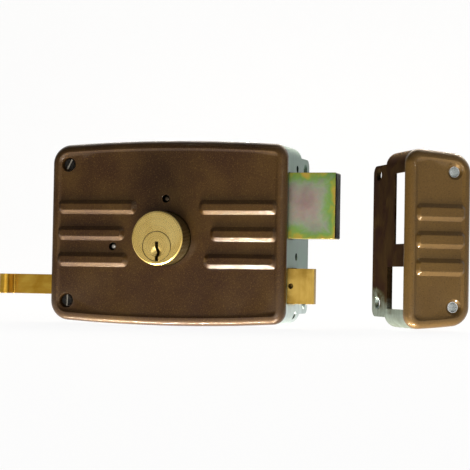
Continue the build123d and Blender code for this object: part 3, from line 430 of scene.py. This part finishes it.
class LOCK_OT_paint_shells(bpy.types.Operator):
    """Hammered bronze paint on the cover and the keep's cover"""

    bl_idname = "lock.paint_shells"
    bl_label = "Paint the shells"

    def execute(self, context):
        s = context.scene.lock_paint
        for node, lift in (("cover", 0.0), ("keep_cover", 0.4)):
            material, tree, shader, where = new_finish("hammered bronze " + node)
            skin = use_effect(tree, "hammered", where, Pebble=s.pebble)
            tone = mixed(tree, ranged(tree, skin["Clouds"], 0.3, 0.75, 0.0, 0.22), s.brown, s.flake)
            # Painted light: the keep cover's copy of the paint is lifted towards the flake tone
            tone = mixed(tree, lift, tone, s.flake)
            tone = mixed(tree, maths(tree, "MULTIPLY", skin["Flecks"], 0.4), tone, s.flake)
            tone = mixed(tree, ranged(tree, skin["Height"], 0.5, 0.28, 0.0, 0.5), tone, s.shade)
            # Dirt and painted shade darken the corners
            tone = dirtied_and_shaded(tree, where, tone, s.shade, 0.004, 0.55)
            tone = rubbed_and_highlit(tree, where, tone, linear(150, 118, 80), 0.0005, 0.3)
            surfaced(tree, shader, tone, 0.4, ranged(tree, skin["Flecks"], 0.0, 1.0, 0.46, 0.34))
            soft = bumped(tree, shader, skin["Height"], s.depth, radius=0.0003)
            tree.links.new(soft, shader.inputs["Coat Normal"])
            shader.inputs["Coat Weight"].default_value = 0.5
            shader.inputs["Coat Roughness"].default_value = 0.11
            shader.inputs["Specular IOR Level"].default_value = 0.2
            paint([node], material)
        return {"FINISHED"}


class LOCK_OT_plate_chassis(bpy.types.Operator):
    """Zinc plate on the chassis and lip, and the browner plate of the keep"""

    bl_idname = "lock.plate_chassis"
    bl_label = "Plate the chassis"

    def execute(self, context):
        s = context.scene.lock_plate
        upright = (1.0, 1.0, 0.08)
        zinc = plated(
            "grey green zinc", s.zinc, linear(60, 80, 70), linear(126, 146, 134), upright, 0.36,
            lit_foot=(*chassis_lit_foot, linear(196, 210, 206)),
        )
        paint(["chassis", "lip_plate"], zinc)
        brown = plated(
            "brown grey plate", s.keep, linear(34, 25, 15), linear(92, 74, 50), upright, 0.36,
            lit_foot=(*keep_lit_foot, linear(164, 178, 172)), edge=linear(182, 168, 136),
        )
        paint(["keep_box", "keep_lip"], brown)
        return {"FINISHED"}


class LOCK_OT_plate_bolts(bpy.types.Operator):
    """Iridescent yellow plate on the deadbolt, and olive plate on its tail and the draw bar"""

    bl_idname = "lock.plate_bolts"
    bl_label = "Plate the bolts"

    def execute(self, context):
        s = context.scene.lock_plate
        low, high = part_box("deadbolt")
        middle, half = (low + high) / 2, (high - low) / 2
        material, tree, shader, where = new_finish("iridescent yellow zinc")
        grain = use_effect(tree, "grain", where, Stretch=(1.0, 1.0, 0.12), Patches=85.0)
        parts = apart(tree, where)
        off_centre = []
        for axis, centre, reach in (("X", high.x - film_reach, film_reach), ("Z", middle.z, half.z)):
            off = maths(tree, "ABSOLUTE", maths(tree, "SUBTRACT", parts[axis], centre))
            off_centre.append(maths(tree, "MULTIPLY", off, 1 / reach))
        stirred = maths(tree, "MULTIPLY", maths(tree, "SUBTRACT", grain["Patches"], 0.5), 0.9)
        tone = ramp(tree, maths(tree, "ADD", maths(tree, "MAXIMUM", *off_centre), stirred), [
            (0.0, linear(152, 130, 128)), (0.42, linear(152, 142, 134)), (0.66, linear(140, 150, 130)),
            (0.84, linear(114, 150, 80)), (0.96, linear(150, 154, 62)), (1.0, linear(168, 146, 64)),
        ])
        tone = mixed(tree, 0.2, tone, noise(tree, where, 520.0, 3.0, 0.7).outputs["Color"], "OVERLAY")
        # Dirt and painted shade darken the corners
        tone = dirtied_and_shaded(tree, where, tone, linear(60, 56, 40), 0.005, 0.6)
        # Painted shade: the deadbolt's end face turns near-black
        end_shade = ranged(tree, parts["X"], high.x - end_shade_depth[0], high.x - end_shade_depth[1])
        tone = mixed(tree, end_shade, tone, linear(12, 11, 9))
        # Painted highlight: the deadbolt's outer edges turn near-white, as the glint on its bevel
        tone = rubbed_and_highlit(tree, where, tone, linear(226, 222, 190), 0.0006, 0.5)
        surfaced(tree, shader, tone, 0.85, ranged(tree, grain["Patches"], 0.3, 0.7, 0.34, 0.5))
        bumped(tree, shader, grain["Lines"], 0.00005, radius=0.0003)
        paint(["deadbolt"], material)

        bar = plated(
            "olive yellow zinc", s.olive, linear(154, 100, 22), linear(192, 168, 84), (0.08, 1.0, 1.0),
            0.36, patches=55.0,
        )
        paint(["draw_bar", "bolt_tail"], bar)
        return {"FINISHED"}


class LOCK_OT_turn_brass(bpy.types.Operator):
    """Brass of the cylinder, its plug and the latch"""

    bl_idname = "lock.turn_brass"
    bl_label = "Turn the brass"

    def execute(self, context):
        s = context.scene.lock_plate
        plug_low, plug_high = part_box("plug")
        plug_edge = (plug_high.x - plug_low.x) / 2
        for name, node, fineness in (
            ("turned brass body", "cylinder_body", 2400.0),
            ("turned brass plug", "plug", 3000.0),
        ):
            low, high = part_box(node)
            material, tree, shader, where = new_finish(name)
            moved = place(
                tree, "ShaderNodeMapping", Vector=where,
                Location=(-(low.x + high.x) / 2, 0.0, -(low.z + high.z) / 2),
            ).outputs[0]
            rings = place(
                tree, "ShaderNodeTexNoise", {"noise_dimensions": "1D"}, W=from_axis(tree, moved),
                Scale=fineness, Detail=4.0, Roughness=0.7,
            ).outputs["Fac"]
            grain = use_effect(tree, "grain", where, Patches=60.0)
            clouds = ranged(tree, grain["Patches"], 0.3, 0.7)
            tone = mixed(tree, clouds, linear(208, 174, 92), linear(236, 210, 136))
            tone = mixed(tree, 0.4, tone, s.brass)
            tone = mixed(tree, ranged(tree, rings, 0.4, 0.7, 0.0, 0.28), tone, linear(150, 118, 58))
            # Dirt and painted shade darken the corners
            tone = dirtied_and_shaded(tree, where, tone, linear(54, 40, 20), 0.002, 0.85)
            off = maths(tree, "ABSOLUTE", maths(tree, "SUBTRACT", from_axis(tree, where), plug_edge))
            tone = mixed(tree, ranged(tree, off, *plug_joint, 0.9, 0.0), tone, linear(40, 29, 14))
            # Painted shade: faces that turn away from the front, the cylinder's and the plug's sides, are
            # darkened
            normal = tree.nodes.new("ShaderNodeNewGeometry").outputs["Normal"]
            faced = maths(tree, "ABSOLUTE", apart(tree, normal)["Y"])
            tone = mixed(tree, ranged(tree, faced, 0.1, 0.3, 0.82, 0.0), tone, linear(48, 36, 18))
            surfaced(tree, shader, tone, 0.8, ranged(tree, rings, 0.3, 0.7, 0.22, 0.36))
            bumped(tree, shader, rings, 0.00003, radius=0.0002, strength=0.35)
            paint([node], material)
        milled = plated(
            "milled brass", linear(184, 150, 68), linear(156, 122, 50), linear(204, 176, 100),
            (1.0, 1.0, 0.06), 0.36, metallic=0.95, depth=0.00006,
        )
        paint(["latch_bolt", "key_pins", "chamber_plugs"], milled)
        return {"FINISHED"}


class LOCK_OT_finish_steel(bpy.types.Operator):
    """Plain and bright steel of the works, the pins and sleeves, and the black screws"""

    bl_idname = "lock.finish_steel"
    bl_label = "Finish the steel"

    def execute(self, context):
        across = (1.0, 0.1, 1.0)
        plain = plated(
            "plain zinc steel", linear(140, 140, 138), linear(104, 104, 102), linear(190, 190, 188), across,
            0.4,
        )
        paint([
            "screw_posts", "bolt_rivets", "drive_pinion", "pinion_bridge", "cylinder_posts", "plug_tail",
            "latch_pin", "spring_stop", "latch_lever", "lever_pivot", "lever_peg", "bolt_guide",
            "spring_rivet",
        ], plain)
        bright = plated(
            "bright steel", linear(200, 200, 196), linear(160, 160, 158), linear(230, 230, 228), across,
            0.24,
        )
        paint([
            "cylinder_screws", "plug_clip", "driver_pins", "pin_springs", "latch_spring", "friction_spring",
        ], bright)
        bored = plated(
            "polished bore", linear(236, 240, 238), linear(212, 216, 214), linear(250, 250, 250),
            (1.0, 1.0, 1.0), 0.12,
        )
        paint(["keep_sleeves"], bored)

        material, tree, shader, where = new_finish("pin ends")
        grain = use_effect(tree, "grain", where, Patches=300.0)
        upper = ranged(tree, apart(tree, where)["Z"], *between_pins)
        tone = mixed(tree, upper, linear(226, 222, 214), linear(96, 82, 66))
        tone = mixed(tree, ranged(tree, grain["Patches"], 0.35, 0.65, 0.0, 0.5), tone, linear(60, 52, 42))
        surfaced(tree, shader, tone, 0.8, ranged(tree, grain["Lines"], 0.3, 0.7, 0.25, 0.45))
        bumped(tree, shader, grain["Patches"], 0.00006)
        paint(["stay_pins"], material)

        front_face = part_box("cover_screws")[0].y
        material, tree, shader, where = new_finish("black oxide")
        grain = use_effect(tree, "grain", where, Patches=420.0)
        clouds = ranged(tree, grain["Patches"], 0.4, 0.7)
        tone = mixed(tree, clouds, linear(14, 13, 12), linear(46, 42, 38))
        # Painted highlight: the slot behind the head's face turns pale
        slot_highlight = ranged(tree, apart(tree, where)["Y"], *(front_face + depth for depth in slot_highlight_depth))
        tone = mixed(tree, slot_highlight, tone, linear(176, 172, 164))
        surfaced(tree, shader, tone, 0.6, ranged(tree, grain["Lines"], 0.3, 0.7, 0.35, 0.55))
        bumped(tree, shader, grain["Patches"], 0.00006)
        paint(["cover_screws"], material)
        return {"FINISHED"}


class LOCK_OT_set_stage(bpy.types.Operator):
    """Pale floor and backdrop, soft light and the camera"""

    bl_idname = "lock.set_stage"
    bl_label = "Set the stage"

    def execute(self, context):
        s = context.scene.lock_studio
        self.lay_floor(context)
        self.light_room(context, s)
        self.hang_lamps(context, s)
        self.stand_camera(context, s)
        context.scene.view_settings.view_transform = "Standard"
        return {"FINISHED"}

    def lay_floor(self, context):
        """A floor under the lock that bends up into a backdrop."""
        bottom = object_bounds()[0][2]
        bend_start = floor_back - wall_bend
        profile = [(floor_front, bottom), (bend_start, bottom)]
        for i in range(1, bend_steps + 1):
            turn = math.pi / 2 * i / bend_steps
            along, up = wall_bend * math.sin(turn), wall_bend * (1 - math.cos(turn))
            profile.append((bend_start + along, bottom + up))
        profile.append((floor_back, bottom + wall_height))
        mesh = bmesh.new()
        left, right = [[mesh.verts.new((x, y, z)) for y, z in profile] for x in (-floor_reach, floor_reach)]
        for i in range(len(profile) - 1):
            mesh.faces.new((left[i], right[i], right[i + 1], left[i + 1]))
        data = bpy.data.meshes.new("studio_floor")
        mesh.to_mesh(data)
        mesh.free()
        for face in data.polygons:
            face.use_smooth = True
        floor = bpy.data.objects.new("studio_floor", data)
        context.scene.collection.objects.link(floor)

        material, tree, shader, _ = new_finish("studio white")
        shader.inputs["Base Color"].default_value = (0.9, 0.9, 0.9, 1.0)
        shader.inputs["Roughness"].default_value = 0.9
        rays = tree.nodes.new("ShaderNodeLightPath").outputs
        shown = maths(tree, "MAXIMUM", rays["Is Camera Ray"], rays["Is Glossy Ray"])
        shown = maths(tree, "MAXIMUM", shown, rays["Is Transmission Ray"])
        glow = place(tree, "ShaderNodeEmission", Color=white, Strength=1.0)
        blend = place(
            tree, "ShaderNodeMixShader", i0=maths(tree, "MULTIPLY", shown, floor_glow),
            i1=shader.outputs[0], i2=glow.outputs[0],
        )
        tree.links.new(blend.outputs[0], tree.nodes["Material Output"].inputs["Surface"])
        data.materials.append(material)
        floor.visible_shadow = False
        floor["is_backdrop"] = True

    def light_room(self, context, s):
        """Air that is white to the camera, and lights the lock from behind, above and the right."""
        world = bpy.data.worlds.new("studio air")
        context.scene.world = world
        world.use_nodes = True
        tree = world.node_tree
        tree.nodes.clear()
        way = apart(tree, tree.nodes.new("ShaderNodeTexCoord").outputs["Generated"])
        above = ranged(tree, way["Z"], 0.0, 1.0, 0.0, s.above)
        above = maths(tree, "MULTIPLY", above, ranged(tree, way["Y"], 0.0, 0.5))
        right = ranged(tree, way["X"], -0.1, 0.9, 0.0, s.right)
        level = maths(tree, "ADD", maths(tree, "ADD", above, right), s.front)
        seen = tree.nodes.new("ShaderNodeLightPath").outputs["Is Camera Ray"]
        level = maths(tree, "MAXIMUM", level, seen)
        air = place(tree, "ShaderNodeBackground", Color=white, Strength=level)
        tree.links.new(air.outputs[0], tree.nodes.new("ShaderNodeOutputWorld").inputs[0])

    def hang_lamps(self, context, s):
        """Oblong lamps that look at the middle of the lock and its keep together."""
        target = Vector((0.03, 0.0, 0.0))
        for name, where, size, power in (
            ("key light", (-0.05, -0.19, -0.75), (0.85, 0.22), s.key),
            ("front light", (0.2, -0.95, -0.3), (0.5, 0.4), s.soft),
            ("fill light", (0.15, -0.7, 1.1), (1.2, 0.5), s.fill),
            ("side light", (0.85, -0.8, 0.12), (0.3, 0.9), s.side),
            ("rear light", (0.1, 0.8, 0.75), (1.2, 0.4), s.rear),
        ):
            lamp = bpy.data.lights.new(name, "AREA")
            lamp.shape, lamp.energy, lamp.color = "RECTANGLE", power, s.warmth
            lamp.size, lamp.size_y = size
            lamp.cycles.use_multiple_importance_sampling = False
            held = bpy.data.objects.new(name, lamp)
            held.location = where
            held.rotation_euler = (target - Vector(where)).to_track_quat("-Z", "Y").to_euler()
            context.scene.collection.objects.link(held)

    def stand_camera(self, context, s):
        """The camera, where the photograph was taken from."""
        camera = bpy.data.cameras.new("camera")
        camera.sensor_width = sensor_width
        camera.sensor_fit = "HORIZONTAL"
        camera.lens = s.focal_pixels / frame_pixels * camera.sensor_width
        camera.clip_start, camera.clip_end = 0.01, 20.0
        eye = bpy.data.objects.new("camera", camera)
        stand = Matrix.Translation(s.eye)
        for angle, axis in ((s.yaw, "Z"), (s.pitch, "X"), (s.roll, "Y"), (math.pi / 2, "X")):
            stand = stand @ Matrix.Rotation(angle, 4, axis)
        eye.matrix_world = stand
        context.scene.collection.objects.link(eye)
        context.scene.camera = eye


class LOCK_PT_panel(bpy.types.Panel):
    """The lock's makers and settings"""

    bl_label = "Rim box lock"
    bl_idname = "LOCK_PT_panel"
    bl_space_type = "VIEW_3D"
    bl_region_type = "UI"
    bl_category = "Lock"

    def draw(self, context):
        for settings, makers in (
            (context.scene.lock_paint, ("paint_shells",)),
            (context.scene.lock_plate, ("plate_chassis", "plate_bolts", "turn_brass", "finish_steel")),
            (context.scene.lock_studio, ("set_stage",)),
        ):
            box = self.layout.box()
            for name in type(settings).__annotations__:
                box.prop(settings, name)
            for maker in makers:
                box.operator("lock." + maker)


classes = (
    LockPaint, LockPlate, LockStudio, LOCK_OT_paint_shells, LOCK_OT_plate_chassis, LOCK_OT_plate_bolts,
    LOCK_OT_turn_brass, LOCK_OT_finish_steel, LOCK_OT_set_stage, LOCK_PT_panel,
)


def register():
    for one in classes:
        bpy.utils.register_class(one)
    bpy.types.Scene.lock_paint = PointerProperty(type=LockPaint)
    bpy.types.Scene.lock_plate = PointerProperty(type=LockPlate)
    bpy.types.Scene.lock_studio = PointerProperty(type=LockStudio)


def unregister():
    del bpy.types.Scene.lock_paint
    del bpy.types.Scene.lock_plate
    del bpy.types.Scene.lock_studio
    for one in reversed(classes):
        bpy.utils.unregister_class(one)


def main():
    register()
    effects["worn_and_highlit"] = worn_and_highlit_edge_group()
    effects["grime_and_shade"] = grime_and_shade_group()
    effects["hammered"] = hammered_group()
    effects["grain"] = grain_group()
    bpy.ops.lock.paint_shells()
    bpy.ops.lock.plate_chassis()
    bpy.ops.lock.plate_bolts()
    bpy.ops.lock.turn_brass()
    bpy.ops.lock.finish_steel()
    bpy.ops.lock.set_stage()


if __name__ == "__main__":
    main()
